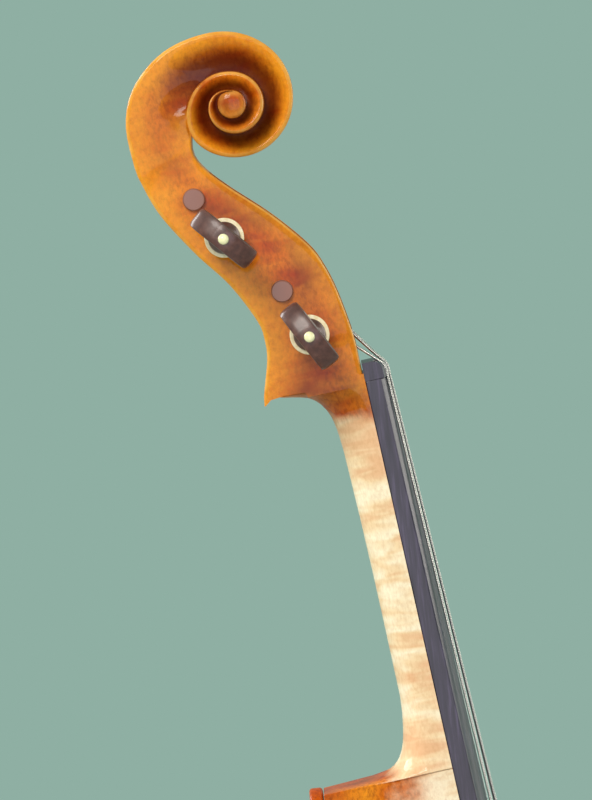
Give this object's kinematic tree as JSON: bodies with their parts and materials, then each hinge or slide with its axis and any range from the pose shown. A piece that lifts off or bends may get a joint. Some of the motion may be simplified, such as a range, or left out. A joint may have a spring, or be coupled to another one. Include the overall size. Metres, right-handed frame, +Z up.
{
  "type": "violin",
  "caption": "Bowed four-string instrument with arched body, carved scroll, turning tuning pegs and one fine tuner on the tailpiece.",
  "frame": {"origin": "middle of the end button's outer flat face", "axes": "+Z up the body to the scroll, -Y the belly side, -X the bass side"},
  "size_m": [0.2084, 0.1142, 0.5995],
  "materials": {
    "varnished_maple": "glossy oil varnish",
    "varnished_spruce": "glossy oil varnish",
    "ebony": "satin",
    "rosewood": "polished",
    "boxwood": "satin",
    "bare_wood": "unfinished",
    "bridge_maple": "unfinished",
    "wound_string": "wound",
    "plain_steel": "polished",
    "nickel": "plated",
    "tail_cord": "moulded"
  },
  "bodies": {
    "violin": {"neck_and_scroll": "varnished_maple", "fingerboard": "ebony", "nut": "ebony", "top_plate": "varnished_spruce", "back_plate": "varnished_maple", "rib_lower_bass": "varnished_maple", "rib_lower_treble": "varnished_maple", "rib_waist_bass": "varnished_maple", "rib_waist_treble": "varnished_maple", "rib_upper_bass": "varnished_maple", "rib_upper_treble": "varnished_maple", "lining_lower_bass_front": "bare_wood", "lining_lower_bass_back": "bare_wood", "lining_lower_treble_front": "bare_wood", "lining_lower_treble_back": "bare_wood", "lining_waist_bass_front": "bare_wood", "lining_waist_bass_back": "bare_wood", "lining_waist_treble_front": "bare_wood", "lining_waist_treble_back": "bare_wood", "lining_upper_bass_front": "bare_wood", "lining_upper_bass_back": "bare_wood", "lining_upper_treble_front": "bare_wood", "lining_upper_treble_back": "bare_wood", "block_top": "bare_wood", "block_bottom": "bare_wood", "block_lower_bass": "bare_wood", "block_lower_treble": "bare_wood", "block_upper_bass": "bare_wood", "block_upper_treble": "bare_wood", "bass_bar": "bare_wood", "soundpost": "bare_wood", "bridge": "bridge_maple", "tailpiece": "ebony", "tailgut": "tail_cord", "saddle": "ebony", "end_button": "ebony", "tuner_frame": "nickel", "string_g": "wound_string", "string_d": "wound_string", "string_a": "wound_string", "string_e": "plain_steel"},
    "peg_g_turning": {"peg_g": "rosewood", "peg_g_collar": "boxwood", "peg_g_pip": "boxwood", "peg_g_winding": "wound_string"},
    "peg_e_turning": {"peg_e": "rosewood", "peg_e_collar": "boxwood", "peg_e_pip": "boxwood", "peg_e_winding": "wound_string"},
    "peg_d_turning": {"peg_d": "rosewood", "peg_d_collar": "boxwood", "peg_d_pip": "boxwood", "peg_d_winding": "wound_string"},
    "peg_a_turning": {"peg_a": "rosewood", "peg_a_collar": "boxwood", "peg_a_pip": "boxwood", "peg_a_winding": "wound_string"},
    "fine_tuner_screw": {"tuner_screw": "nickel"},
    "fine_tuner_lever": {"tuner_lever": "nickel"}
  },
  "joints": [
    {"name": "turn_peg_g", "type": "hinge", "parent": "violin", "child": "peg_g_turning", "pos_m": [0, 0.00458, 0.50857], "axis": [-1, 0, 0], "continuous": true},
    {"name": "turn_peg_e", "type": "hinge", "parent": "violin", "child": "peg_e_turning", "pos_m": [0, 0.01122, 0.52181], "axis": [1, 0, 0], "continuous": true},
    {"name": "turn_peg_d", "type": "hinge", "parent": "violin", "child": "peg_d_turning", "pos_m": [0, 0.0263, 0.53931], "axis": [-1, 0, 0], "continuous": true},
    {"name": "turn_peg_a", "type": "hinge", "parent": "violin", "child": "peg_a_turning", "pos_m": [0, 0.03409, 0.55121], "axis": [1, 0, 0], "continuous": true},
    {"name": "turn_tuner_screw", "type": "hinge", "parent": "violin", "child": "fine_tuner_screw", "pos_m": [0.01395, -0.04226, 0.09631], "axis": [0, 0.9816, 0.1908], "range_deg": [0, 1080]},
    {"name": "rock_tuner_lever", "type": "hinge", "parent": "violin", "child": "fine_tuner_lever", "pos_m": [0.01395, -0.03891, 0.10949], "axis": [1, 0, 0], "range_deg": [0, 6.3]}
  ],
  "couplings": [
    {"joint": "rock_tuner_lever", "follows": "turn_tuner_screw", "ratio": 0.0058}
  ]
}
